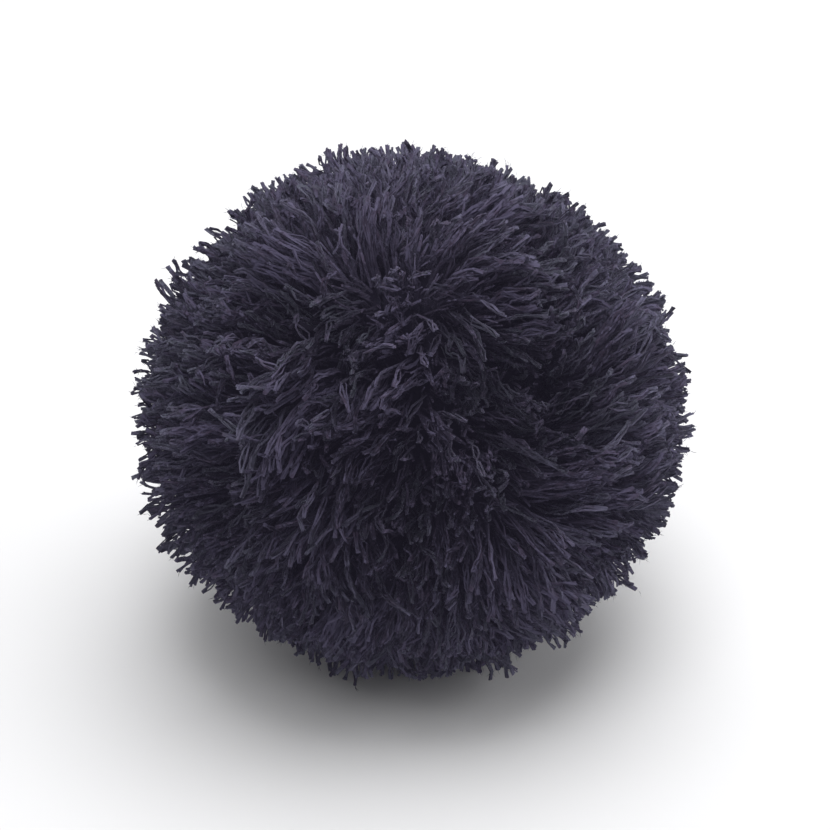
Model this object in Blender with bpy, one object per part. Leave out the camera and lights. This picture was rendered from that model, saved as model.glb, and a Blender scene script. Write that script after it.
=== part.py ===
"""A yarn pom pom: a trimmed ball of cut locks, fused at their roots in a core, resting on a small level foot.

Metres, +Z up. The origin is on the floor, under the middle of the ball.
"""

import math

import bmesh
import bpy
import numpy as np
from mathutils import Vector, noise

# Sizes of the ball.
REACH_LEVEL = 0.0482  # from the middle out to the trimmed ends, sideways
REACH_UPRIGHT = 0.0460  # from the middle to the trimmed ends, up and down
SETTLE = 0.0018  # how far the ball sinks into its own ends where it rests
FOOT_RADIUS = 0.0115  # locks whose middles come down nearer than this to the centre end level on the floor

MIDDLE_HEIGHT = REACH_UPRIGHT - SETTLE  # the ball's middle above the floor

# The locks.
SEEDS = 102  # scattered points: three times as many, less six, is the number of locks
SCATTER = 0.12  # how far a point strays, as a share of the spacing between points
CORE_SHARE = 0.62  # where the locks part from the core, as a share of the reach
ROOT_GAP = 0.014  # half the gap between two locks at their roots, on a ball of radius 1
# Along a lock: how far from its root to its end, and how far its corners draw in to its middle line.
RING_COLUMNS = ("share", "draw_in")
RINGS = (
    (0.50, 0.06),
    (0.90, 0.20),
    (1.00, 0.56),
)
UNEVEN = 0.0017  # how much longer or shorter one lock is than the next
BILLOW = 0.0010  # broad swellings of the whole ball
BILLOW_SCALE = 1.7
SEED = 11

# Where locks gather into tufts. Bearing is round the ball from +X towards +Y, height is above level.
TUFT_COLUMNS = ("bearing", "height", "spread", "gather", "rise")
TUFTS = (
    (-128, 42, 17, 0.30, 0.0012),
    (-96, 18, 15, 0.26, 0.0010),
    (-63, 46, 18, 0.30, 0.0014),
    (-158, 12, 19, 0.32, 0.0012),
    (-100, -14, 17, 0.28, 0.0010),
    (-52, 4, 16, 0.28, 0.0008),
    (-20, 28, 18, 0.30, 0.0012),
    (-84, 72, 17, 0.26, 0.0010),
    (-140, -24, 15, 0.24, 0.0008),
    (-40, -28, 16, 0.26, 0.0008),
    (20, 0, 18, 0.30, 0.0012),
    (45, 44, 18, 0.28, 0.0010),
    (68, -8, 17, 0.28, 0.0012),
    (98, 28, 19, 0.30, 0.0012),
    (128, -12, 17, 0.28, 0.0010),
    (148, 38, 18, 0.28, 0.0012),
    (172, -30, 15, 0.24, 0.0008),
    (100, 64, 15, 0.24, 0.0010),
)

# Partings: short dark furrows that run from one bearing and height to another.
PARTING_COLUMNS = ("bearing", "height", "to_bearing", "to_height", "width", "part", "depth")
PARTINGS = (
    (-112, 30, -106, 52, 8, 0.30, 0.0030),
    (-82, 40, -74, 24, 8, 0.30, 0.0030),
    (-64, 22, -50, 22, 8, 0.32, 0.0034),
    (-112, 4, -78, 2, 8, 0.28, 0.0026),
    (-60, -12, -72, -24, 8, 0.30, 0.0030),
    (-134, 24, -130, 4, 8, 0.26, 0.0024),
    (-10, 8, 2, 20, 8, 0.28, 0.0026),
    (56, 18, 78, 22, 8, 0.30, 0.0030),
    (110, 8, 112, -14, 8, 0.28, 0.0028),
    (130, 14, 140, 18, 8, 0.28, 0.0026),
    (165, 0, 178, 8, 8, 0.28, 0.0026),
    (20, 60, 70, 66, 8, 0.26, 0.0024),
)


def direction(bearing, height):
    """The unit vector at a bearing and a height, both in degrees."""
    turn = math.radians(bearing)
    climb = math.radians(height)
    return np.array((math.cos(climb) * math.cos(turn), math.cos(climb) * math.sin(turn), math.sin(climb)))


def falloff(angle, width):
    """1 at no angle, fading smoothly past a width, both in radians."""
    return math.exp(-((angle / width) ** 2))


def nearest_on_arc(point, start, end):
    """The unit vector on the arc between two unit vectors that lies nearest to a third."""
    along = end - start
    share = np.dot(point - start, along) / np.dot(along, along)
    nearest = start + min(max(share, 0.0), 1.0) * along
    return nearest / np.linalg.norm(nearest)


def yarn_lay(outward):
    """How a lock at this unit vector leans and how much longer it is: (sideways vector, metres)."""
    lean = np.zeros(3)
    extra = BILLOW * noise.noise(Vector(outward) * BILLOW_SCALE)
    for row in TUFTS:
        tuft = dict(zip(TUFT_COLUMNS, row))
        middle = direction(tuft["bearing"], tuft["height"])
        angle = math.acos(min(1.0, float(np.dot(outward, middle))))
        weight = falloff(angle, math.radians(tuft["spread"]))
        lean += tuft["gather"] * weight * (middle - outward)
        extra += tuft["rise"] * weight
    for row in PARTINGS:
        parting = dict(zip(PARTING_COLUMNS, row))
        start = direction(parting["bearing"], parting["height"])
        end = direction(parting["to_bearing"], parting["to_height"])
        middle = nearest_on_arc(outward, start, end)
        angle = math.acos(min(1.0, float(np.dot(outward, middle))))
        weight = falloff(angle, math.radians(parting["width"]))
        lean += parting["part"] * weight * (outward - middle)
        extra -= parting["depth"] * weight
    return lean - np.dot(lean, outward) * outward, extra


def reach(outward):
    """The radius of the trimmed ball at a unit vector: a ball that is a little lower than it is wide."""
    level = math.hypot(outward[0], outward[1]) / REACH_LEVEL
    upright = outward[2] / REACH_UPRIGHT
    return 1 / math.hypot(level, upright)


def scattered_ball():
    """A ball of radius 1 with one lozenge for each lock, one of them facing straight down."""
    random = np.random.default_rng(SEED)
    ball = bmesh.new()
    golden_turn = math.pi * (3 - math.sqrt(5))
    spacing = math.sqrt(4 * math.pi / SEEDS)
    for index in range(SEEDS):
        height = 1 - (2 * index + 1) / SEEDS
        turn = index * golden_turn
        ring = math.sqrt(1 - height * height)
        point = Vector((ring * math.cos(turn), ring * math.sin(turn), height))
        stray = Vector(random.normal(0, SCATTER * spacing, 3).tolist())
        ball.verts.new((point + stray).normalized())
    bmesh.ops.convex_hull(ball, input=ball.verts)
    ridges = ball.edges[:]
    bmesh.ops.poke(ball, faces=ball.faces)
    bmesh.ops.dissolve_edges(ball, edges=ridges)
    for _ in range(2):
        bmesh.ops.smooth_vert(ball, verts=ball.verts, factor=0.5, use_axis_x=True, use_axis_y=True, use_axis_z=True)
        for vertex in ball.verts:
            vertex.co.normalize()
    lowest = min(ball.faces, key=lambda face: face.calc_center_median().z)
    turn_down = lowest.calc_center_median().rotation_difference(Vector((0, 0, -1)))
    bmesh.ops.rotate(ball, verts=ball.verts, matrix=turn_down.to_matrix())
    bmesh.ops.recalc_face_normals(ball, faces=ball.faces)
    return ball


def lock_corner(home, ring, lock):
    """Where a lock's corner lies on one of the lock's rings."""
    share = ring["share"]
    outward = home + ring["draw_in"] * (lock["middle"] - home)
    outward = outward / np.linalg.norm(outward)
    lean, _ = yarn_lay(outward)
    outward = outward + lean * share**1.4
    outward = outward / np.linalg.norm(outward)
    end = reach(outward) + lock["extra"]
    if outward[2] < 0:
        down_to_floor = MIDDLE_HEIGHT / -outward[2]
        end = down_to_floor if lock["in_foot"] else min(end, down_to_floor)
    root = CORE_SHARE * reach(outward)
    return outward * (root + (end - root) * share)


def pom_pom():
    ball = scattered_ball()
    locks = ball.faces[:]
    bmesh.ops.inset_individual(ball, faces=locks, thickness=ROOT_GAP, use_even_offset=True)
    home = ball.verts.layers.float_vector.new("home")
    number = ball.verts.layers.int.new("number")
    random = np.random.default_rng(SEED + 1)
    traits = []
    for face in locks:
        for vertex in face.verts:
            vertex[home] = vertex.co.normalized()
            vertex[number] = len(traits)
        middle = np.array(sum((vertex[home] for vertex in face.verts), Vector()).normalized())
        _, extra = yarn_lay(middle)
        aside = math.hypot(middle[0], middle[1]) / abs(middle[2]) * MIDDLE_HEIGHT
        traits.append(
            {
                "middle": middle,
                "extra": extra + UNEVEN * random.uniform(-1, 1),
                "in_foot": middle[2] < 0 and aside < FOOT_RADIUS,
            }
        )
    for vertex in ball.verts:
        outward = vertex.co.normalized()
        vertex.co = outward * CORE_SHARE * reach(outward)
    for row in RINGS:
        ring = dict(zip(RING_COLUMNS, row))
        locks = bmesh.ops.extrude_discrete_faces(ball, faces=locks)["faces"]
        for corner in {vertex for face in locks for vertex in face.verts}:
            corner.co = lock_corner(np.array(corner[home]), ring, traits[corner[number]])
    mesh = bpy.data.meshes.new("pom_pom")
    bmesh.ops.recalc_face_normals(ball, faces=ball.faces)
    bmesh.ops.triangulate(ball, faces=ball.faces)
    stand_on_floor(ball)
    print("locks", len(locks), "triangles", len(ball.faces))
    ball.to_mesh(mesh)
    ball.free()
    return mesh


def stand_on_floor(ball):
    """Moves the ball so that its box stands on the floor, centred over the origin."""
    points = np.array([vertex.co for vertex in ball.verts])
    lowest = points.min(axis=0)
    highest = points.max(axis=0)
    across = (lowest + highest) / 2
    bmesh.ops.translate(ball, verts=ball.verts, vec=(-across[0], -across[1], MIDDLE_HEIGHT))
    print("box in mm", np.round((highest - lowest) * 1000, 2), "moved", np.round(across * 1000, 2))


def yarn_material():
    """Charcoal yarn with a slight blue-violet cast, soft and without gloss."""
    material = bpy.data.materials.new("charcoal_yarn")
    material.use_nodes = True
    shader = material.node_tree.nodes["Principled BSDF"]
    shader.inputs["Base Color"].default_value = (0.033, 0.031, 0.046, 1)
    shader.inputs["Roughness"].default_value = 0.95
    shader.inputs["Metallic"].default_value = 0.0
    return material


def main():
    for leftover in list(bpy.data.objects):
        bpy.data.objects.remove(leftover)
    mesh = pom_pom()
    mesh.materials.append(yarn_material())
    bpy.context.scene.collection.objects.link(bpy.data.objects.new("pom_pom", mesh))


main()
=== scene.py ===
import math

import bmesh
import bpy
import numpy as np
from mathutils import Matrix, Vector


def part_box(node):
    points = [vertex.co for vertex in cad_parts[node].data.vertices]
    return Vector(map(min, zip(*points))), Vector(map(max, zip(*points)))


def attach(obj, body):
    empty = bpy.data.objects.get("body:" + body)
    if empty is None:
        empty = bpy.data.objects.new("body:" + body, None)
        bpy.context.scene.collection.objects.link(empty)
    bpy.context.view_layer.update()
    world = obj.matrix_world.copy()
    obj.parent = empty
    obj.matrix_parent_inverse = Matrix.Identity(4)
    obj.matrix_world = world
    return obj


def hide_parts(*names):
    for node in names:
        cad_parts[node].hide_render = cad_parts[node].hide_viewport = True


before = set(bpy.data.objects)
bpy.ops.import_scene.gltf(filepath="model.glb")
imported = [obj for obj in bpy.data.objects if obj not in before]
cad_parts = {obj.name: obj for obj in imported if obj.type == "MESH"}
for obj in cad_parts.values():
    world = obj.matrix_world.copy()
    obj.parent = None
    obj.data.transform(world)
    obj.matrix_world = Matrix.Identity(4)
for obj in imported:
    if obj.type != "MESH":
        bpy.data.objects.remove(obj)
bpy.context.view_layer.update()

# %% [markdown]
# # A yarn pom pom
#
# A pom pom is one long yarn, wound hundreds of times round a former, tied tight round its waist, cut open
# along its edge and trimmed to a ball. What you see is thousands of cut ends, all growing out of one
# hidden knot. So this lesson grows ends instead of sculpting a surface: it scatters roots over a small
# core, lets each yarn grow outwards, bends neighbours into tufts, opens each yarn into its plies and
# trims them to a ball.

low, high = (np.array(corner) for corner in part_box("pom_pom"))
print("solid ball in mm", np.round((high - low) * 1000, 1))

# %% [markdown]
# ## The trimmed ball
#
# Scissors leave a ball that is a touch wider than tall, because it sags under its own weight. It could be
# read from the solid, but two radii and a middle say it more plainly. The best side of the ball looks up
# a little, and places on it are given as on a clock face: a clock angle, and how many degrees out from
# the middle.

# %% Sizes of the ball and directions on it
REACH_LEVEL = 0.0482
REACH_UPRIGHT = 0.0460
MIDDLE = np.array((0.0, 0.0, REACH_UPRIGHT - 0.0018))
FACE_TILT = math.radians(30)
FACE_RIGHT = np.array((1.0, 0.0, 0.0))
FACE_UP = np.array((0.0, math.sin(FACE_TILT), math.cos(FACE_TILT)))
FACE_OUT = np.array((0.0, -math.cos(FACE_TILT), math.sin(FACE_TILT)))


def unit(vectors):
    return vectors / np.linalg.norm(vectors, axis=-1, keepdims=True)


def across_face(clock):
    """The direction across the face that a clock hand points in."""
    return math.sin(math.radians(clock)) * FACE_RIGHT + math.cos(math.radians(clock)) * FACE_UP


def on_face(clock, out):
    """The unit vector from the ball's middle to a place on its face."""
    return math.cos(math.radians(out)) * FACE_OUT + math.sin(math.radians(out)) * across_face(clock)


def reach(outward):
    """How far the trimmed ball reaches along unit vectors."""
    level = np.hypot(outward[:, 0], outward[:, 1]) / REACH_LEVEL
    return 1 / np.hypot(level, outward[:, 2] / REACH_UPRIGHT)


def along_surface(vectors, outward):
    """The part of each vector that lies along the ball's surface."""
    return vectors - np.sum(vectors * outward, axis=1, keepdims=True) * outward


print("face looks towards", np.round(FACE_OUT, 2))

# %% [markdown]
# ## How the yarn lies
#
# Handling combs the ends of a pom pom into sweeps and leaves hollows between them. In each row, clock and
# out say where a sweep's ends show and spread how wide it is, in degrees. combed is the clock direction
# they point in and lean how far they lie down. proud is 1 where they stand well out, 0 where they are
# level, and below 0 where they sit low. The same value paints the yarn of a proud sweep lighter and the
# yarn of a low one darker, as painted light and painted shade. Hollows sink the ends by some millimetres,
# and the trims are where the scissors cut the rim a little short or left it long. Snips are a second,
# lighter pass round the rim: they take length off, but the light and shade painted by height don't follow
# them, as they do hollows and trims. Painting all this on a mesh by hand would work too, but a table can
# be read, changed and checked.

# %% Sweeps, hollows and the trim
MM = 0.001
SWEEP_COLUMNS = ("clock", "out", "spread", "combed", "lean", "proud")
SWEEPS = (
    (309, 10, 5, 252, 44, 0.8),
    (333, 6, 5, 205, 36, 0.0),
    (5, 14, 6, 178, 36, 0.6),
    (350, 24, 6, 172, 28, 0.5),
    (25, 15, 4, 160, 36, -0.4),
    (35, 7, 4, 216, 40, 0.1),
    (100, 3, 4, 170, 30, 0.2),
    (49, 13, 5, 143, 44, 0.6),
    (68, 17, 5, 144, 44, 0.8),
    (95, 9, 5, 135, 34, -0.3),
    (104, 24, 6, 123, 40, -0.5),
    (150, 15, 5, 160, 34, -0.3),
    (192, 9, 5, 200, 24, -0.2),
    (193, 21, 5, 195, 48, 0.2),
    (201, 25, 5, 168, 46, 0.5),
    (219, 18, 4, 258, 40, 0.3),
    (245, 10, 5, 225, 30, 0.5),
    (275, 12, 5, 262, 32, 0.1),
    (320, 15, 4, 252, 46, -0.2),
    (317, 22, 4, 208, 44, -0.1),
    (345, 16, 5, 240, 26, 0.1),
    (322, 29, 5, 225, 44, 0.6),
    (319, 36, 4, 184, 42, 0.4),
    (298, 25, 4, 184, 40, 0.6),
    (268, 25, 8, 178, 46, 1.3),
    (251, 27, 7, 168, 44, 1.0),
    (232, 26, 4, 140, 44, 0.3),
    (215, 27, 5, 208, 44, 0.3),
    (225, 33, 4, 256, 40, 0.0),
    (212, 37, 5, 190, 40, 0.2),
    (199, 39, 5, 165, 34, 0.2),
    (232, 42, 6, 202, 34, 0.2),
    (248, 37, 5, 260, 40, 0.9),
    (263, 34, 4, 300, 36, 0.7),
    (282, 33, 5, 304, 36, 0.2),
    (292, 35, 5, 318, 36, 0.3),
    (260, 51, 7, 272, 30, 0.7),
    (305, 48, 5, 266, 34, 0.2),
    (320, 48, 6, 306, 42, 1.4),
    (333, 41, 5, 324, 36, 0.2),
    (347, 43, 6, 1, 38, 0.8),
    (8, 36, 7, 10, 16, 0.5),
    (22, 53, 8, 72, 38, 1.1),
    (25, 42, 6, 76, 44, 0.0),
    (33, 34, 6, 98, 46, 0.3),
    (44, 39, 8, 106, 48, 0.2),
    (59, 36, 5, 108, 44, 0.8),
    (53, 27, 5, 118, 44, 0.2),
    (42, 22, 5, 152, 44, 0.1),
    (73, 55, 8, 46, 34, 0.2),
    (93, 44, 8, 62, 34, 0.0),
    (102, 57, 8, 68, 34, 0.7),
    (118, 42, 6, 82, 36, 0.2),
    (125, 47, 6, 98, 44, 0.9),
    (138, 43, 5, 132, 40, 0.6),
    (145, 49, 6, 150, 44, 0.9),
    (155, 40, 5, 202, 40, 0.3),
    (146, 57, 7, 128, 34, 1.0),
    (168, 34, 6, 188, 36, -0.4),
    (175, 45, 7, 190, 30, -0.2),
    (188, 56, 8, 212, 38, 0.2),
)
SWEEP_BACK = 0.142
CALM_SHARE = 0.04
NO_LENGTH = 1e-9
PROUD_RISE = 0.6 * MM
HOLLOW_COLUMNS = ("clock", "out", "spread", "sunk_mm")
HOLLOWS = (
    (305, 31, 8, 9.1),
    (300, 20, 5, 7.15),
    (283, 16, 4, 6.5),
    (308, 40, 4, 5.2),
    (347, 32, 3, 3.25),
    (21, 23, 4, 11.7),
    (42, 17, 5, 5.85),
    (68, 12, 5, 3.9),
    (100, 12, 5, 3.25),
    (42, 52, 7, 4.55),
    (323, 20, 4, 3.9),
    (55, 38, 4, 5.2),
    (62, 25, 5, 6.5),
    (84, 37, 9, 11.7),
    (84, 21, 6, 8.45),
    (114, 21, 6, 9.1),
    (104, 27, 5, 3.9),
    (129, 30, 4, 5.2),
    (127, 39, 4, 4.55),
    (140, 35, 3, 4.55),
    (181, 17, 7, 7.8),
    (196, 12, 3, 2.6),
    (210, 21, 3, 5.2),
    (227, 24, 4, 4.55),
    (189, 40, 5, 3.9),
    (186, 29, 7, 3.25),
    (247, 48, 8, 5.85),
    (248, 17, 4, 1.3),
)
TRIM_COLUMNS = ("clock", "out", "spread", "longer_mm")
TRIMS = (
    (24, 88, 16, -2.0),
    (55, 88, 14, -1.1),
    (75, 88, 10, -0.6),
    (92, 88, 12, 0.7),
    (132, 88, 16, -0.2),
    (150, 88, 10, 0.7),
    (180, 88, 9, -0.8),
    (220, 88, 14, 1.2),
    (243, 88, 12, 1.4),
    (290, 88, 12, -0.5),
    (314, 88, 13, -1.7),
    (352, 88, 12, 0.7),
)
SNIP_COLUMNS = ("clock", "out", "spread", "shorter_mm")
SNIPS = (
    (2, 88, 9, 1.3),
    (24, 88, 14, 0.4),
    (52, 88, 14, 0.6),
    (75, 88, 10, 1.4),
    (92, 88, 10, 0.2),
    (108, 88, 11, 1.0),
    (132, 88, 11, 1.7),
    (226, 88, 12, 1.0),
    (256, 88, 14, 0.8),
    (280, 88, 12, 0.7),
    (300, 88, 12, 2.4),
    (318, 88, 9, 0.4),
    (334, 88, 11, 2.2),
)


def rows(columns, table):
    return [dict(zip(columns, row)) for row in table]


def nearness(outward, place, spread):
    """1 at a place on the ball, fading over a spread in degrees."""
    angle = np.arccos(np.clip(outward @ place, -1, 1))
    return np.exp(-((angle / math.radians(spread)) ** 2))


def near_row(outward, row):
    """How near unit vectors are to the place that a row names."""
    return nearness(outward, on_face(row["clock"], row["out"]), row["spread"])


def snipped(outward):
    """How much the second pass of the scissors takes off the ends at unit vectors, in metres."""
    shorter = np.zeros(len(outward))
    for row in rows(SNIP_COLUMNS, SNIPS):
        shorter += MM * row["shorter_mm"] * near_row(outward, row)
    return shorter


def sweep_root(row):
    """Where a sweep's roots are: SWEEP_BACK undoes how far its lean carries the ends over the ball."""
    back = SWEEP_BACK * math.tan(math.radians(row["lean"]))
    return unit(on_face(row["clock"], row["out"]) - back * across_face(row["combed"]))


def combed_lean(outward):
    """The sideways lean of the ends at unit vectors, as tangents of angles."""
    lean = np.zeros_like(outward)
    shares = np.full(len(outward), CALM_SHARE)
    for row in rows(SWEEP_COLUMNS, SWEEPS):
        weight = nearness(outward, sweep_root(row), row["spread"]) ** 2
        aim = np.broadcast_to(across_face(row["combed"]), outward.shape)
        aim = unit(along_surface(aim, outward) + NO_LENGTH)
        lean += math.tan(math.radians(row["lean"])) * weight[:, None] * aim
        shares += weight
    return lean / shares[:, None]


def trimmed_extra(outward):
    """How much longer than the plain ball the ends are at unit vectors, in metres."""
    extra = np.zeros(len(outward))
    for row in rows(SWEEP_COLUMNS, SWEEPS):
        extra += PROUD_RISE * row["proud"] * near_row(outward, row)
    for row in rows(HOLLOW_COLUMNS, HOLLOWS):
        extra -= MM * row["sunk_mm"] * near_row(outward, row)
    for row in rows(TRIM_COLUMNS, TRIMS):
        extra += MM * row["longer_mm"] * near_row(outward, row)
    return extra


print(len(SWEEPS), "sweeps,", len(HOLLOWS), "hollows")

# %% [markdown]
# ## Growing one strand
#
# A strand starts upright on the core and leans more and more towards its end, like grass. Its centre line
# is walked outwards in short steps, and the steps are made long enough that a strand which lies down
# still gains the height of the pile. Afterwards it is stretched or shortened a little so that its cut end
# meets the trimmed ball, or the floor where the ball rests. A curve object for each strand could do this
# too, but thousands of them are slow, and whole arrays of centre lines are not. The values called LATE
# are powers of the way along a strand: the larger the value, the later it happens.

# %% Grow strands from their roots
STATIONS = np.array((0.0, 0.38, 0.54, 0.67, 0.79, 0.90, 1.0))
ROOT_SHARE = 0.75
BEND = 2.0
BEND_LATE = 1.2
STRETCH_LATE = 0.7
GATHER_LATE = 1.3
LEAST_DOWN = 1e-6


def grow(outward, lean, extra):
    """Centre lines of strands: one row of points for each unit vector, a point for each station."""
    end = reach(outward) + extra
    root = ROOT_SHARE * reach(outward)
    middles = (STATIONS[:-1] + STATIONS[1:]) / 2
    headings = [unit(outward + lean * BEND * middle**BEND_LATE) for middle in middles]
    gains = [np.sum(heading * outward, axis=1) for heading in headings]
    length = (end - root) / sum(gain * step for gain, step in zip(gains, np.diff(STATIONS)))
    points = [outward * root[:, None]]
    for heading, step in zip(headings, np.diff(STATIONS)):
        points.append(points[-1] + heading * length[:, None] * step)
    return np.stack(points, axis=1)


def trim(lines, extra):
    """Stretches or shortens strands so that they end on the trimmed ball, or on the floor."""
    outward = unit(lines[:, -1])
    wanted = reach(outward) + trimmed_extra(outward) - snipped(outward) + extra
    down = np.maximum(-outward[:, 2], LEAST_DOWN)
    wanted = np.where(outward[:, 2] < 0, np.minimum(wanted, MIDDLE[2] / down), wanted)
    ratio = wanted / np.linalg.norm(lines[:, -1], axis=1)
    return lines * (1 + (ratio - 1)[:, None] * STATIONS[None, :] ** STRETCH_LATE)[:, :, None]


def gather(lines, guides, pull):
    """Draws strands towards their guide, more and more towards their ends."""
    return lines + (guides - lines) * pull[:, None, None] * (STATIONS**GATHER_LATE)[None, :, None]


print("stations along a strand:", STATIONS)

# %% [markdown]
# ## Tufts inside tufts
#
# Yarn ends cling together. A few cling into a small clump, and clumps lean into broad tufts with partings
# between them. Scattering points evenly over a ball by the golden angle, with a little stray, gives every
# level its places, and each strand follows the nearest guide of the level above. Every sweep in the table
# is a tuft of its own. The free tufts keep clear of it, and the prouder it is, the further away it claims
# clumps. A hair system with clumping would do much the same, but its strands would not be meshes of a
# known size.

# %% Scatter roots, clumps and tufts
SEED = 2024
random = np.random.default_rng(SEED)
YARNS = 6500
CLUMPS = 1600
TUFTS = 420
GOLDEN_HALF_TURNS = 3 - math.sqrt(5)
EVEN_STRAY = 0.3
YARN_STRAY = 0.35
SWEEP_CLEAR = 7
SWEEP_PULL = 0.6
SWEEP_CLAIM = 0.004
SWEEP_RISE = 0.0016
TUFT_UNEVEN = 0.0005
CLUMP_UNEVEN = 0.0011
YARN_UNEVEN = 0.0003
CLUMP_RISE_SHARE = 0.8
TUFT_DEGREES = 9
CLUMP_DEGREES = 7
CLUMP_LEAN_SHARE = 0.7
YARN_DEGREES = 7
YARN_LEAN_SHARE = 0.75
TUFT_PULL_MOST = 0.35
CLUMP_PULL_MOST = 0.4
CROSSING_SHARE = 0.15
CROSSING_DEGREES = 22
CROSSING_PULL = 0.2
SPARING_PARTS = 16


def scattered(count, stray):
    """Unit vectors spread evenly over a ball, each strayed by a share of their spacing."""
    index = np.arange(count)
    height = 1 - (2 * index + 1) / count
    ring = np.sqrt(1 - height**2)
    turn = index * math.pi * GOLDEN_HALF_TURNS
    places = np.stack((ring * np.cos(turn), ring * np.sin(turn), height), axis=1)
    return unit(places + random.normal(0, stray * math.sqrt(4 * math.pi / count), places.shape))


def nearest(outward, places, claim=0.0):
    """The nearest place to each unit vector; a place with a larger claim draws from further away."""
    return np.argmax(outward @ places.T + claim, axis=1)


def nearest_yarn(outward):
    """The nearest yarn, found a share of the places at a time to spare memory."""
    parts = np.array_split(outward, SPARING_PARTS)
    return np.concatenate([nearest(part, yarn_place) for part in parts])


def random_lean(outward, degrees):
    """A chance lean along the surface; degrees is its usual size."""
    return along_surface(random.normal(0, math.tan(math.radians(degrees)), outward.shape), outward)


def shared_lean(outward, leader, lean, share, degrees):
    """Lean at unit vectors: a share from the leader, the rest from the sweeps there, and some chance."""
    own = combed_lean(outward) * (1 - share) + random_lean(outward, degrees)
    return own + share * along_surface(lean[leader], outward)


sweep_place = np.array([sweep_root(row) for row in rows(SWEEP_COLUMNS, SWEEPS)])
free_place = scattered(TUFTS, EVEN_STRAY)
clear = np.max(free_place @ sweep_place.T, axis=1) < math.cos(math.radians(SWEEP_CLEAR))
free_place = free_place[clear]
tuft_place = np.concatenate((sweep_place, free_place))
sweep_proud = np.array([row["proud"] for row in rows(SWEEP_COLUMNS, SWEEPS)])
free_rise = random.normal(0, TUFT_UNEVEN, len(free_place))
tuft_extra = np.concatenate((SWEEP_RISE * sweep_proud, free_rise))
tuft_lean = combed_lean(tuft_place) + random_lean(tuft_place, TUFT_DEGREES)
tuft_line = grow(tuft_place, tuft_lean, tuft_extra)
free_pull = random.uniform(0.0, TUFT_PULL_MOST, len(free_place))
tuft_pull = np.concatenate((np.full(len(sweep_place), SWEEP_PULL), free_pull))

clump_place = scattered(CLUMPS, EVEN_STRAY)
tuft_claim = np.concatenate((SWEEP_CLAIM * sweep_proud, np.zeros(len(free_place))))
clump_tuft = nearest(clump_place, tuft_place, tuft_claim)
clump_extra = CLUMP_RISE_SHARE * tuft_extra[clump_tuft] + random.normal(0, CLUMP_UNEVEN, CLUMPS)
clump_lean = shared_lean(clump_place, clump_tuft, tuft_lean, CLUMP_LEAN_SHARE, CLUMP_DEGREES)
clump_line = grow(clump_place, clump_lean, clump_extra)
clump_line = gather(clump_line, tuft_line[clump_tuft], tuft_pull[clump_tuft])

yarn_place = scattered(YARNS, YARN_STRAY)
yarn_clump = nearest(yarn_place, clump_place)
yarn_extra = clump_extra[yarn_clump] + random.normal(0, YARN_UNEVEN, YARNS)
crossing = random.random(YARNS) < CROSSING_SHARE
yarn_lean = shared_lean(yarn_place, yarn_clump, clump_lean, YARN_LEAN_SHARE, YARN_DEGREES)
yarn_lean = yarn_lean + np.where(crossing, 1, 0)[:, None] * random_lean(yarn_place, CROSSING_DEGREES)
yarn_line = grow(yarn_place, yarn_lean, yarn_extra)
clump_pull = random.uniform(0.0, CLUMP_PULL_MOST, CLUMPS)[yarn_clump]
clump_pull = clump_pull * np.where(crossing, CROSSING_PULL, 1.0)
yarn_line = gather(yarn_line, clump_line[yarn_clump], clump_pull)
print("yarn ends", YARNS, "clumps", CLUMPS, "tufts", TUFTS)

# %% [markdown]
# ## Waves, strays and plies
#
# Cut yarn keeps a soft wave from the spinning. Each yarn gets two slow waves across its own line, nearly
# the same ones as the rest of its clump, so that neighbours flow together and do not tangle. A few ends
# stand proud. Then each yarn opens into three plies that turn about each other. In the middle they bulge
# apart on waves of their own, and at both ends they are held together: at the root by the tie, at the cut
# by the blunt, felted end that scissors leave. Without those last two steps the ball looks like cut wire.

# %% Open the yarns into plies
PLIES = 3
PLY_RADIUS = 0.000180
PLY_APART = 0.00030
PLY_RANGE = (0.7, 1.3)
STATION_RANGE = (0.8, 1.2)
TIP_CLOSING = 0.5
TIP_CLOSING_LATE = 10
SPLAY = 0.00002
SPLAY_LATE = 4
WAVE = 0.00055
WAVE_RANGE = (0.4, 1.6)
YARN_CRIMP = 0.00007
PLY_WOBBLE = 0.00005
PLY_WAVE = 0.00036
PLY_WAVE_RANGE = (0.3, 1.7)
PLY_UNEVEN = 0.00012
HELD_POWER = 0.6
CLUMP_TURNS = (0.7, 2.1)
YARN_TURNS_STRAY = 0.15
YARN_START_STRAY = 0.13
PLY_TURNS = (1.0, 2.3)
TWIST_TURNS = (0.8, 1.5)
PROUD_SHARE = 0.16
PROUD_LENGTH = 0.0007
PROUD_MOST = 0.0022


def frames(lines, beside):
    """Two directions square to each strand at each station."""
    tangent = unit(np.gradient(lines, axis=1))
    side = unit(np.cross(tangent, beside[:, None, :]))
    return side, np.cross(tangent, side)


def waved(lines, beside, height, turns, start, growth):
    """Adds two slow waves whose height follows growth; turns and start hold a pair for each strand."""
    side, other = frames(lines, beside)
    wave = height[:, None, None] * np.sin(2 * math.pi * (turns * STATIONS + start)) * growth
    return lines + wave[:, 0, :, None] * side + wave[:, 1, :, None] * other


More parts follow.
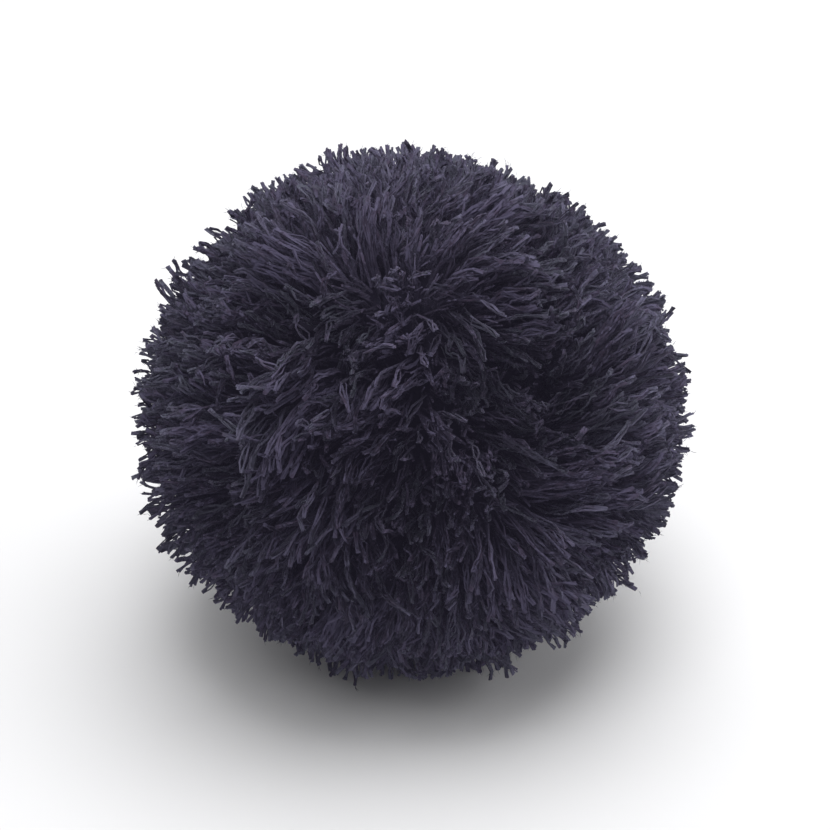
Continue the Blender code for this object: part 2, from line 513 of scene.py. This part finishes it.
proud = np.minimum(random.exponential(PROUD_LENGTH, YARNS), PROUD_MOST)
yarn_extra = yarn_extra + np.where(random.random(YARNS) < PROUD_SHARE, proud, 0)
beside = unit(np.cross(yarn_place, random.normal(0, 1, (CLUMPS, 3))[yarn_clump]))
yarn_turns = random.uniform(*CLUMP_TURNS, (CLUMPS, 2, 1))[yarn_clump]
yarn_turns = yarn_turns + random.normal(0, YARN_TURNS_STRAY, (YARNS, 2, 1))
yarn_start = random.uniform(0, 1, (CLUMPS, 2, 1))[yarn_clump]
yarn_start = yarn_start + random.normal(0, YARN_START_STRAY, (YARNS, 2, 1))
yarn_wave = random.uniform(*WAVE_RANGE, YARNS) * WAVE
yarn_line = waved(yarn_line, beside, yarn_wave, yarn_turns, yarn_start, STATIONS)
yarn_line = yarn_line + random.normal(0, YARN_CRIMP, yarn_line.shape)
yarn_line = trim(yarn_line, yarn_extra)
side, other = frames(yarn_line, beside)
held_ends = np.sin(math.pi * STATIONS) ** HELD_POWER
ply_lines = []
ply_start = random.uniform(0, 1, YARNS)
ply_turns = random.uniform(*TWIST_TURNS, YARNS)
for ply in range(PLIES):
    turn = 2 * math.pi * (ply / PLIES + ply_start[:, None] + ply_turns[:, None] * STATIONS)
    closing = 1 - TIP_CLOSING * STATIONS**TIP_CLOSING_LATE
    apart = PLY_APART * random.uniform(*PLY_RANGE, (YARNS, 1)) * closing
    apart = apart + random.exponential(SPLAY, (YARNS, 1)) * STATIONS**SPLAY_LATE
    across = (apart * np.cos(turn))[:, :, None] * side
    line = yarn_line + across + (apart * np.sin(turn))[:, :, None] * other
    own_turns = random.uniform(*PLY_TURNS, (YARNS, 2, 1))
    own_start = random.uniform(0, 1, (YARNS, 2, 1))
    own_wave = random.uniform(*PLY_WAVE_RANGE, YARNS) * PLY_WAVE
    line = waved(line, beside, own_wave, own_turns, own_start, held_ends)
    line = line + random.normal(0, PLY_WOBBLE, line.shape)
    longer = random.normal(0, PLY_UNEVEN, (YARNS, 1)) * STATIONS
    ply_lines.append(line + longer[:, :, None] * unit(np.gradient(line, axis=1)))
print("plies", PLIES * YARNS)

# %% [markdown]
# ## One ply, thousands of times
#
# A ply is modelled once as a template: a three-sided tube with blunt ends, cut into as many steps as a
# strand has. Finer things use a tube that is pointed at both ends. Instances on points would draw just as
# well, but real meshes are wanted here, so arrays carry the template's points onto every strand in one
# go. Each ply gets a place on the UV map: U runs from root to end, and V goes round the ply inside one of
# a few dozen strips, one for each tone. Wool has no hard facets, so the normals follow the whole tuft and
# clump as much as the ply.

# %% Template tube and the weaver that repeats it
TONES = 32
STRIP_FILL = 0.8
OWN_ROUNDNESS = 0.18
CLUMP_ROUNDNESS = 0.7
CLUMP_RADIUS = 0.0022
MAP_START = 0.02
MAP_LENGTH = 0.94
CAP_ALONG = 0.015
CAP_ROUND = 0.3
HALF_TURN = 0.5
CAP_LEVEL = 0.9


def template_arrays(tube):
    """A template's points across and along, its faces, and how far round each corner is."""
    bmesh.ops.recalc_face_normals(tube, faces=tube.faces)
    tube.verts.index_update()
    corners, turns, is_cap = [], [], []
    for face in tube.faces:
        turn = [math.atan2(corner.co.y, corner.co.x) / (2 * math.pi) % 1 for corner in face.verts]
        cap = abs(face.normal.z) > CAP_LEVEL
        if not cap and max(turn) - min(turn) > HALF_TURN:
            turn = [share + 1 if share < HALF_TURN else share for share in turn]
        corners.append([corner.index for corner in face.verts])
        turns.extend(turn)
        is_cap.extend([cap] * len(face.verts))
    points = np.array([corner.co for corner in tube.verts])
    tube.free()
    return {
        "across": points[:, :2],
        "station": np.round(points[:, 2]).astype(int),
        "corners": np.concatenate(corners),
        "sizes": np.array([len(face) for face in corners]),
        "turn": np.array(turns),
        "is_cap": np.array(is_cap),
    }


def blunt_tube(sides, stations):
    """A closed upright tube of radius 1 with flat ends, one unit between stations."""
    tube = bmesh.new()
    bmesh.ops.create_cone(tube, cap_ends=True, segments=sides, radius1=1, radius2=1, depth=stations - 1)
    upright = [edge for edge in tube.edges if abs(edge.verts[0].co.z - edge.verts[1].co.z) > 0.5]
    bmesh.ops.subdivide_edges(tube, edges=upright, cuts=stations - 2)
    bmesh.ops.translate(tube, verts=tube.verts, vec=(0, 0, (stations - 1) / 2))
    return template_arrays(tube)


def pointed_tube(sides):
    """A tube of three stations that is pointed at both ends."""
    tube = bmesh.new()
    bmesh.ops.create_circle(tube, cap_ends=True, segments=sides, radius=1)
    waist = list(tube.faces)
    for height in (-1, 1):
        made = bmesh.ops.extrude_face_region(tube, geom=waist, use_keep_orig=True)
        ring = [item for item in made["geom"] if isinstance(item, bmesh.types.BMVert)]
        bmesh.ops.translate(tube, verts=ring, vec=(0, 0, height))
        bmesh.ops.pointmerge(tube, verts=ring, merge_co=(0, 0, height))
    bmesh.ops.delete(tube, geom=waist, context="FACES_ONLY")
    bmesh.ops.translate(tube, verts=tube.verts, vec=(0, 0, 1))
    return template_arrays(tube)


def strip_uv(template, along, tones):
    """UV of every face corner: U along the strand, V round it inside the strip of its tone."""
    corner = template["corners"]
    u = MAP_START + MAP_LENGTH * along[template["station"][corner]]
    u = u + np.where(template["is_cap"], CAP_ALONG * template["across"][corner, 0], 0)
    v = np.where(template["is_cap"], 0.5 + CAP_ROUND * template["across"][corner, 1], template["turn"])
    v = (tones[:, None] + 0.5 + STRIP_FILL * (v[None, :] - 0.5)) / TONES
    return np.stack((np.broadcast_to(u, v.shape), v), axis=2)


def weave(name, template, lines, beside, radii, along, tones, soft):
    """One mesh object: the template carried along every line, at the ball's place and above the floor."""
    side, other = frames(lines, beside)
    station = template["station"]
    across = template["across"]
    offset = across[None, :, 0, None] * side[:, station] + across[None, :, 1, None] * other[:, station]
    points = lines[:, station] + radii[:, station, None] * offset
    points = points + MIDDLE
    points[:, :, 2] = np.maximum(points[:, :, 2], 0)
    first = (np.arange(len(lines)) * len(station))[:, None]
    corners = (template["corners"][None, :] + first).ravel()
    sizes = np.tile(template["sizes"], len(lines))
    mesh = bpy.data.meshes.new(name)
    mesh.vertices.add(points.size // 3)
    mesh.loops.add(len(corners))
    mesh.polygons.add(len(sizes))
    mesh.vertices.foreach_set("co", points.astype(np.float32).ravel())
    mesh.loops.foreach_set("vertex_index", corners.astype(np.int32))
    mesh.polygons.foreach_set("loop_start", np.concatenate(([0], np.cumsum(sizes)[:-1])).astype(np.int32))
    mesh.update(calc_edges=True)
    uv = mesh.uv_layers.new(name="OFBake")
    uv.data.foreach_set("uv", strip_uv(template, along, tones).astype(np.float32).ravel())
    mesh.shade_smooth()
    normals = unit(OWN_ROUNDNESS * offset + soft[:, station])
    mesh.normals_split_custom_set_from_vertices(normals.reshape(-1, 3))
    piece = bpy.data.objects.new(name, mesh)
    bpy.context.scene.collection.objects.link(piece)
    print(name, "strands", len(lines), "triangles", int(np.sum(template["sizes"] - 2)) * len(lines))
    return piece


ply_template = blunt_tube(3, len(STATIONS))
print("template", len(ply_template["station"]), "points", len(ply_template["sizes"]), "faces")

# %% [markdown]
# ## Five windings of yarn
#
# A pom pom maker winds the former several times over. Each winding here is one object that holds every
# fifth yarn, all round the ball, which keeps each mesh to a size that exports well and lets one winding
# be hidden to look inside. Each ply flares a little at its cut end, where the fibres spring open. Its
# tone is partly painted light and shade: proud sweeps and ends that stand out are painted lighter, and
# low sweeps and ends sunk in hollows or trimmed short are painted darker. Tufts, clumps and yarns also
# each stray a little in their own tone.

# %% Weave the windings
WINDINGS = 5
PLY_FLARE = np.array((0.9, 0.9, 0.9, 0.95, 1.0, 1.1, 1.45))
# The next two values paint light and shade by height: an end that stands out of the ball is painted
# lighter, and an end sunk in a hollow or trimmed short is painted darker, within these heights in metres.
PAINTED_SHADING_BY_HEIGHT = 900.0
PAINTED_SHADING_HEIGHTS = (-0.005, 0.002)
# Painted light and shade on the sweeps: sweeps prouder than PLAIN_PROUD are painted lighter, and lower
# ones darker.
SWEEP_PAINTED_LIGHT = 1.8
PLAIN_PROUD = 0.35
TUFT_TONE = 0.5
CLUMP_TONE = 0.45
YARN_TONE = 0.4
PLY_TONE = 0.15
TONE_REACH = 5


def tone_strip(tone):
    """The strip of the UV map for a tone, where 0 is middling and 1 a common step lighter."""
    return np.clip(np.round((tone / TONE_REACH + 0.5) * TONES), 0, TONES - 1)


def place_piece(piece):
    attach(piece, "root")
    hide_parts("pom_pom")
    return piece


# Proud sweeps get painted light and low sweeps painted shade. Free tufts, clumps and yarns add random
# tone of their own.
sweep_painted_light = SWEEP_PAINTED_LIGHT * (sweep_proud - PLAIN_PROUD)
tuft_tone_and_painted_light = np.concatenate((sweep_painted_light, random.normal(0, TUFT_TONE, len(free_place))))
clump_tone_and_painted_light = tuft_tone_and_painted_light[clump_tuft] + random.normal(0, CLUMP_TONE, CLUMPS)
yarn_tone_and_painted_light = clump_tone_and_painted_light[yarn_clump] + random.normal(0, YARN_TONE, YARNS)
# Painted shade and light by height: ends sunk below the ball are painted darker, and those standing out
# are painted lighter.
yarn_height = trimmed_extra(unit(yarn_line[:, -1]))
yarn_tone_and_painted_light = yarn_tone_and_painted_light + PAINTED_SHADING_BY_HEIGHT * np.clip(yarn_height, *PAINTED_SHADING_HEIGHTS)
from_clump = yarn_line - clump_line[yarn_clump]
yarn_soft = unit(yarn_line) + CLUMP_ROUNDNESS * np.clip(from_clump / CLUMP_RADIUS, -1, 1)
windings = []
for winding in range(WINDINGS):
    chosen = np.arange(winding, YARNS, WINDINGS)
    lines = np.concatenate([line[chosen] for line in ply_lines])
    squares = np.concatenate([beside[chosen]] * PLIES)
    soft = np.concatenate([yarn_soft[chosen]] * PLIES)
    tone = np.concatenate([yarn_tone_and_painted_light[chosen]] * PLIES) + random.normal(0, PLY_TONE, len(lines))
    radii = PLY_RADIUS * random.uniform(*PLY_RANGE, (len(lines), 1)) * PLY_FLARE
    radii = radii * random.uniform(*STATION_RANGE, radii.shape)
    winding_piece = weave(
        f"winding_{winding + 1}", ply_template, lines, squares, radii, STATIONS, tone_strip(tone), soft
    )
    windings.append(place_piece(winding_piece))

# %% [markdown]
# ## Short ends between the yarns
#
# Not every yarn reaches the surface. Short ends stand between the long ones and make the pile look dense
# without adding much: each is a short, nearly straight tube with only three stations, which keeps it to
# eight faces. Its U starts part of the way along, because its root lies further out than those of the
# long plies, where the yarn is less dark.

# %% Short ends
SHORT_ENDS = 7000
SHORT_STATIONS = np.array((0.0, 0.55, 1.0))
SHORT_FROM = 0.80
SHORT_TO = (0.90, 0.99)
SHORT_RADIUS = 0.00025
SHORT_STRAY = 0.45
SHORT_LEAN_SHARE = 0.7
SHORT_DEGREES = 16
SHORT_LEAST = 0.003
SHORT_RANGE = (0.6, 1.3)
SHORT_TAPER = np.array((1.0, 1.0, 0.8))
SHORT_BEND = (0.3, 1.0)
# Short ends sit lower in the pile and are painted a little darker: painted shade.
SHORT_PAINTED_SHADE = -0.3
SHORT_TONE = 0.6
SHORT_U = (0.35, 0.6)

short_place = scattered(SHORT_ENDS, SHORT_STRAY)
short_yarn = nearest_yarn(short_place)
short_lean = SHORT_LEAN_SHARE * along_surface(yarn_lean[short_yarn], short_place)
short_lean = short_lean + random_lean(short_place, SHORT_DEGREES)
short_end = random.uniform(*SHORT_TO, (SHORT_ENDS, 1)) * reach(short_place)[:, None]
short_end = short_end + (np.minimum(trimmed_extra(short_place), 0) - snipped(short_place))[:, None]
short_root = np.minimum(SHORT_FROM * reach(short_place)[:, None], short_end - SHORT_LEAST)
short_points = [short_place * short_root]
for before, after in zip(SHORT_STATIONS[:-1], SHORT_STATIONS[1:]):
    heading = unit(short_place + short_lean * (SHORT_BEND[0] + SHORT_BEND[1] * after))
    short_points.append(short_points[-1] + heading * (short_end - short_root) * (after - before))
short_lines = np.stack(short_points, axis=1)
short_beside = unit(np.cross(short_place, random.normal(0, 1, short_place.shape)))
short_radii = SHORT_RADIUS * random.uniform(*SHORT_RANGE, (SHORT_ENDS, 1)) * SHORT_TAPER
# A short end takes the tone of its nearest yarn, with that yarn's painted light and shade, plus painted
# shade of its own.
short_tone_and_painted_light = yarn_tone_and_painted_light[short_yarn] + random.normal(SHORT_PAINTED_SHADE, SHORT_TONE, SHORT_ENDS)
short_piece = weave(
    "short_ends",
    blunt_tube(3, len(SHORT_STATIONS)),
    short_lines,
    short_beside,
    short_radii,
    SHORT_U[0] + SHORT_U[1] * SHORT_STATIONS,
    tone_strip(short_tone_and_painted_light),
    unit(short_lines),
)
short_ends = place_piece(short_piece)

# %% [markdown]
# ## Loose fibres
#
# Wool-like yarn is hairy: single fibres slip out of the plies and catch the light as a thin halo. Each is
# a tube that is pointed at both ends, has one bend, and starts on the outer part of a ply picked by
# chance. A hair material with transparency would be lighter to draw, but real fibres are part of the mesh
# itself.

# %% Loose fibres
FIBRES = 24000
FIBRE_RADIUS = 0.000050
FIBRE_LENGTH = 0.0013
FIBRE_LENGTH_RANGE = (0.4, 1.5)
FIBRE_RADIUS_RANGE = (0.6, 1.3)
FIBRE_STATIONS = np.array((0.0, 0.5, 1.0))
FIBRE_SLOTS = (3, 4, 5)
FIBRE_RISE = 0.2
FIBRE_STRAY = 0.55
FIBRE_CURL = 0.40
FIBRE_TONE = 0.6

fibre_template = pointed_tube(3)
all_plies = np.concatenate(ply_lines)
host = random.integers(0, len(all_plies), FIBRES)
slot_on_ply = random.choice(FIBRE_SLOTS, FIBRES)
slide = random.random((FIBRES, 1))
start = all_plies[host, slot_on_ply] * (1 - slide) + all_plies[host, slot_on_ply + 1] * slide
heading = unit(all_plies[host, slot_on_ply + 1] - all_plies[host, slot_on_ply])
heading = unit(heading + FIBRE_RISE * unit(start) + random.normal(0, FIBRE_STRAY, heading.shape))
onward = unit(heading + random.normal(0, FIBRE_CURL, heading.shape))
fibre_length = FIBRE_LENGTH * random.uniform(*FIBRE_LENGTH_RANGE, (FIBRES, 1))
bend = start + 0.5 * fibre_length * heading
fibre_lines = np.stack((start, bend, bend + 0.5 * fibre_length * onward), axis=1)
fibre_beside = unit(np.cross(heading, random.normal(0, 1, heading.shape)))
fibre_radii = FIBRE_RADIUS * random.uniform(*FIBRE_RADIUS_RANGE, (FIBRES, 1)) * np.ones(3)
fibre_tones = tone_strip(random.normal(0, FIBRE_TONE, FIBRES))
fibre_piece = weave(
    "loose_fibres",
    fibre_template,
    fibre_lines,
    fibre_beside,
    fibre_radii,
    FIBRE_STATIONS,
    fibre_tones,
    unit(fibre_lines),
)
fibres = place_piece(fibre_piece)

# %% [markdown]
# ## The bound core
#
# Deep in the hollows the yarn runs into the tie, where everything is packed and dark. A lumpy ball stands
# for that mass. It is a subdivided icosphere whose points are pushed in and out, since a smooth one would
# glint.

# %% Core ball
CORE_SHARE = 0.74
CORE_LUMP = 0.0006
CORE_CUTS = 5

core_shape = bmesh.new()
bmesh.ops.create_icosphere(core_shape, subdivisions=CORE_CUTS, radius=1)
for vertex in core_shape.verts:
    outward = np.array(vertex.co)[None, :]
    lump = CORE_LUMP * random.normal(0, 1)
    vertex.co = vertex.co * float(CORE_SHARE * reach(outward)[0] + lump)
bmesh.ops.translate(core_shape, verts=core_shape.verts, vec=MIDDLE)
core_mesh = bpy.data.meshes.new("bound_core")
core_shape.to_mesh(core_mesh)
core_shape.free()
core_mesh.shade_smooth()
core = bpy.data.objects.new("bound_core", core_mesh)
bpy.context.scene.collection.objects.link(core)
place_piece(core)
print("core triangles", len(core_mesh.polygons))

# %% [markdown]
# ## Writing shaders as expressions
#
# A node tree reads best as arithmetic. This small class wraps one socket, so that `0.3 + 0.7 * tone` adds
# the Math nodes for it. Every other node is made by one method that takes its type, settings and inputs.
# The colour sockets of a Mix node share their names with its number sockets, so they are found by place.


# %% A socket that does maths
MIX_FIRST = 6
MIX_SECOND = 7
MIX_COLOUR = 2


class Socket:
    """An output in a material's node tree, or the tree itself while it has no link."""

    def __init__(self, tree, link=None):
        self.tree = tree
        self.link = link

    def node(self, kind, settings, inputs, output=0):
        made = self.tree.nodes.new(kind)
        for name, value in settings.items():
            setattr(made, name, value)
        for name, value in inputs.items():
            if isinstance(value, Socket):
                self.tree.links.new(value.link, made.inputs[name])
            else:
                made.inputs[name].default_value = value
        return Socket(self.tree, made.outputs[output])

    def math(self, operation, *values):
        return self.node("ShaderNodeMath", {"operation": operation}, dict(enumerate(values)))

    def __add__(self, other):
        return self.math("ADD", self, other)

    def __radd__(self, other):
        return self.math("ADD", other, self)

    def __sub__(self, other):
        return self.math("SUBTRACT", self, other)

    def __rsub__(self, other):
        return self.math("SUBTRACT", other, self)

    def __mul__(self, other):
        return self.math("MULTIPLY", self, other)

    def __rmul__(self, other):
        return self.math("MULTIPLY", other, self)

    def between(self, start, end):
        """0 up to start, 1 from end, smooth between them."""
        limits = {"Value": self, "From Min": start, "From Max": end}
        return self.node("ShaderNodeMapRange", {"interpolation_type": "SMOOTHSTEP"}, limits)

    def mixed(self, first, second):
        """A colour between two, by this value."""
        inputs = {"Factor": self, MIX_FIRST: first, MIX_SECOND: second}
        return self.node("ShaderNodeMix", {"data_type": "RGBA"}, inputs, output=MIX_COLOUR)


def new_material(name):
    material = bpy.data.materials.new(name)
    material.use_nodes = True
    shader = material.node_tree.nodes["Principled BSDF"]
    return material, Socket(material.node_tree), shader


def connect(material, value, socket):
    material.node_tree.links.new(value.link, socket)


print("a socket adds, subtracts, multiplies, eases between limits and mixes colours")

# %% [markdown]
# ## Charcoal yarn
#
# The yarn is a near-black navy. Up close each ply is a twist of fine fibres, some greyer, some more
# violet, and all of it darkens towards the roots where light can't get in. Everything here reads the UV
# map: U tells how far along the strand, V which tone strip and where round the ply, so the same cloth
# detail bends with every strand. One noise draws the grain of single fibres, wound round the ply, and a
# slower one the light and dark streaks of the spinning. A soft sheen stands for the fuzz that is too fine
# to model. The faint veil of emission stands for light that finds its way between fibres, so that hollows
# are dark but not black. An image texture would need a picture of yarn to start from. Noise needs none,
# though all strands in one strip share its pattern, which is why there are so many strips.

# %% Yarn and core finishes
FIBRE_TWIST = 2.2
GRAIN_ALONG = 22.0
GRAIN_ROUND = 4.5
GRAIN_APART = 3.7
GRAIN_ROUGHNESS = 0.6
STREAK_ALONG = 9.0
STREAK_ROUND = 0.6
STREAK_APART = 2.9
PATCH_APART = 5.3
PATCH_LEVEL = 2.0
GRAIN_DEPTH = 3.4
STREAK_DEPTH = 2.0
VIOLET_FROM = (0.45, 0.75)
VIOLET_SHARE = 0.65
ROOT_FADE = (0.35, 0.85)
ROOT_SHADE = 0.8
CUT_FROM = (0.93, 0.97)
CUT_LIGHTER = 0.1
# Loose fibres are painted a little lighter than the plies: a painted highlight for the light they catch.
FIBRE_PAINTED_HIGHLIGHT = 0.12
ROUGHEST = 0.95
GRAIN_POLISH = 0.3
GRAIN_BUMP = 0.0002
GRAIN_BUMP_SHARE = 0.6
LUMP_SCALE = 900.0
LUMP_DETAIL = 3.0
LUMP_FROM = (0.3, 0.8)
LUMP_BUMP = 0.0006
SHEEN = 0.16
SHEEN_ROUGHNESS = 0.5
YARN_GLOSS = 0.08
CORE_GLOSS = 0.1
CORE_DARK = (0.012, 0.011, 0.019, 1)
YARN_DARK = (0.0138, 0.0112, 0.0210, 1)
YARN_LIGHT = (0.0680, 0.0605, 0.1025, 1)
YARN_VIOLET = (0.0500, 0.0350, 0.0600, 1)
YARN_VEIL = (0.0076, 0.0068, 0.0113, 1)
SHEEN_COLOUR = (0.62, 0.66, 0.85, 1)


def yarn_finish(name, painted_highlight):
    material, tree, shader = new_material(name)
    uv = tree.node("ShaderNodeTexCoord", {}, {}, output="UV")
    along = tree.node("ShaderNodeSeparateXYZ", {}, {0: uv}, output="X")
    strips = tree.node("ShaderNodeSeparateXYZ", {}, {0: uv}, output="Y") * float(TONES)
    strip = strips.math("FLOOR", strips)
    around = strips.math("FRACT", strips)
    grain_place = tree.node(
        "ShaderNodeCombineXYZ",
        {},
        {0: along * GRAIN_ALONG, 1: (around + along * FIBRE_TWIST) * GRAIN_ROUND, 2: strip * GRAIN_APART},
    )
    grain = tree.node(
        "ShaderNodeTexNoise",
        {},
        {"Vector": grain_place, "Scale": 1.0, "Detail": 1.0, "Roughness": GRAIN_ROUGHNESS},
    )
    streak_place = tree.node(
        "ShaderNodeCombineXYZ",
        {},
        {0: along * STREAK_ALONG, 1: around * STREAK_ROUND, 2: strip * STREAK_APART},
    )
    streak = tree.node("ShaderNodeTexNoise", {}, {"Vector": streak_place, "Scale": 1.0, "Detail": 0.0})
    patch_place = tree.node(
        "ShaderNodeCombineXYZ", {}, {0: along * STREAK_ALONG, 1: strip * PATCH_APART, 2: PATCH_LEVEL}
    )
    patch = tree.node("ShaderNodeTexNoise", {}, {"Vector": patch_place, "Scale": 1.0, "Detail": 1.0})
    # The tone strip carries random tone and also the painted light and shade of sweeps, hollows and
    # trims.
    tone = strip * (1 / (TONES - 1))
    shade = grain * GRAIN_DEPTH + streak * STREAK_DEPTH + tone - (GRAIN_DEPTH + STREAK_DEPTH) / 2
    colour = shade.between(0.0, 1.0).mixed(YARN_DARK, YARN_LIGHT)
    colour = (patch.between(*VIOLET_FROM) * VIOLET_SHARE).mixed(colour, YARN_VIOLET)
    colour = ((1 - along.between(*ROOT_FADE)) * ROOT_SHADE).mixed(colour, YARN_DARK)
    colour = (along.between(*CUT_FROM) * CUT_LIGHTER + painted_highlight).mixed(colour, YARN_LIGHT)
    connect(material, colour, shader.inputs["Base Color"])
    connect(material, ROUGHEST - grain * GRAIN_POLISH, shader.inputs["Roughness"])
    bump_inputs = {"Height": grain, "Strength": GRAIN_BUMP_SHARE, "Distance": GRAIN_BUMP}
    bump = tree.node("ShaderNodeBump", {}, bump_inputs)
    connect(material, bump, shader.inputs["Normal"])
    shader.inputs["Sheen Weight"].default_value = SHEEN
    shader.inputs["Sheen Roughness"].default_value = SHEEN_ROUGHNESS
    shader.inputs["Sheen Tint"].default_value = SHEEN_COLOUR
    shader.inputs["Specular IOR Level"].default_value = YARN_GLOSS
    shader.inputs["Emission Color"].default_value = YARN_VEIL
    shader.inputs["Emission Strength"].default_value = 1.0
    return material


def core_finish():
    material, tree, shader = new_material("packed_yarn")
    place = tree.node("ShaderNodeTexCoord", {}, {}, output="Object")
    lump_inputs = {"Vector": place, "Scale": LUMP_SCALE, "Detail": LUMP_DETAIL}
    lumps = tree.node("ShaderNodeTexNoise", {}, lump_inputs)
    colour = lumps.between(*LUMP_FROM).mixed(CORE_DARK, YARN_DARK)
    connect(material, colour, shader.inputs["Base Color"])
    bump = tree.node("ShaderNodeBump", {}, {"Height": lumps, "Strength": 1.0, "Distance": LUMP_BUMP})
    connect(material, bump, shader.inputs["Normal"])
    shader.inputs["Roughness"].default_value = 1.0
    shader.inputs["Specular IOR Level"].default_value = CORE_GLOSS
    # The core glows with the same faint veil of emission as the yarn: painted light, so it shows dark but
    # not black.
    shader.inputs["Emission Color"].default_value = YARN_VEIL
    shader.inputs["Emission Strength"].default_value = 1.0
    return material


yarn_material = yarn_finish("charcoal_yarn", 0.0)
for piece in windings + [short_ends]:
    piece.data.materials.append(yarn_material)
# The loose fibres' material mixes in that painted highlight.
fibres.data.materials.append(yarn_finish("loose_fibre", FIBRE_PAINTED_HIGHLIGHT))
core_mesh.materials.append(core_finish())
print("materials", [material.name for material in bpy.data.materials])

# %% [markdown]
# ## A pale floor and soft light
#
# A dark fuzzy thing shows its form best under broad lights and against a pale surround. Two large discs
# light it from above, one straight down for the bright crown and one from in front for the face. A panel
# on each side lifts the rim, the stronger one on the right, and a large one behind keeps the floor pale.
# Small lights would draw hard shadows between the plies and make the yarn look like wire. The camera
# looks squarely at the face through a long lens, which keeps the ball round.

# %% Floor, lights and camera
FLOOR_SIZE = 6.0
FLOOR_GREY = (0.66, 0.66, 0.67, 1)
FLOOR_ROUGHNESS = 0.9
SURROUND = 0.24
LIGHT_COLUMNS = ("name", "place", "size", "power")
LIGHTS = (
    ("overhead", (0.10, 0.05, 1.00), 0.9, 9.3),
    ("front_top", (-0.18, -0.64, 1.36), 0.9, 6.4),
    ("backdrop", (0.00, 1.25, 0.75), 1.8, 11.0),
    ("left_panel", (-1.20, 0.30, 0.45), 1.2, 3.3),
    ("right_panel", (1.20, 0.10, 0.35), 1.2, 10.4),
)
IMAGE_ACROSS = 830
PIXELS_PER_METRE = 5620.0
FACE_SHIFT = (0.0005, -0.0011)
LENS = 0.100
SENSOR = 0.036

floor_shape = bmesh.new()
bmesh.ops.create_grid(floor_shape, x_segments=1, y_segments=1, size=FLOOR_SIZE / 2)
floor_mesh = bpy.data.meshes.new("floor")
floor_shape.to_mesh(floor_mesh)
floor_shape.free()
floor = bpy.data.objects.new("floor", floor_mesh)
bpy.context.scene.collection.objects.link(floor)
floor_material, _, floor_shader = new_material("pale_floor")
floor_shader.inputs["Base Color"].default_value = FLOOR_GREY
floor_shader.inputs["Roughness"].default_value = FLOOR_ROUGHNESS
floor_mesh.materials.append(floor_material)

world = bpy.data.worlds.new("studio")
bpy.context.scene.world = world
world.use_nodes = True
world.node_tree.nodes["Background"].inputs["Color"].default_value = (1.0, 1.0, 1.0, 1)
world.node_tree.nodes["Background"].inputs["Strength"].default_value = SURROUND


def soft_light(name, place, aim, size, power):
    """A round area light at a place, turned to face the aim."""
    light = bpy.data.lights.new(name, "AREA")
    light.shape = "DISK"
    light.size = size
    light.energy = power
    lamp = bpy.data.objects.new(name, light)
    lamp.location = place
    lamp.rotation_euler = (aim - lamp.location).to_track_quat("-Z", "Y").to_euler()
    bpy.context.scene.collection.objects.link(lamp)


ball_middle = Vector(MIDDLE)
for row in rows(LIGHT_COLUMNS, LIGHTS):
    soft_light(row["name"], row["place"], ball_middle, row["size"], row["power"])

camera_data = bpy.data.cameras.new("camera")
camera_data.lens = LENS * 1000
camera_data.sensor_width = SENSOR * 1000
camera = bpy.data.objects.new("camera", camera_data)
distance = IMAGE_ACROSS * LENS / SENSOR / PIXELS_PER_METRE
aim = ball_middle + Vector(FACE_RIGHT) * FACE_SHIFT[0] + Vector(FACE_UP) * FACE_SHIFT[1]
camera.location = aim + Vector(FACE_OUT) * distance
camera.rotation_euler = (-Vector(FACE_OUT)).to_track_quat("-Z", "Y").to_euler()
bpy.context.scene.collection.objects.link(camera)
bpy.context.scene.camera = camera
bpy.context.scene.view_settings.view_transform = "Standard"
print("camera distance", round(distance, 3))
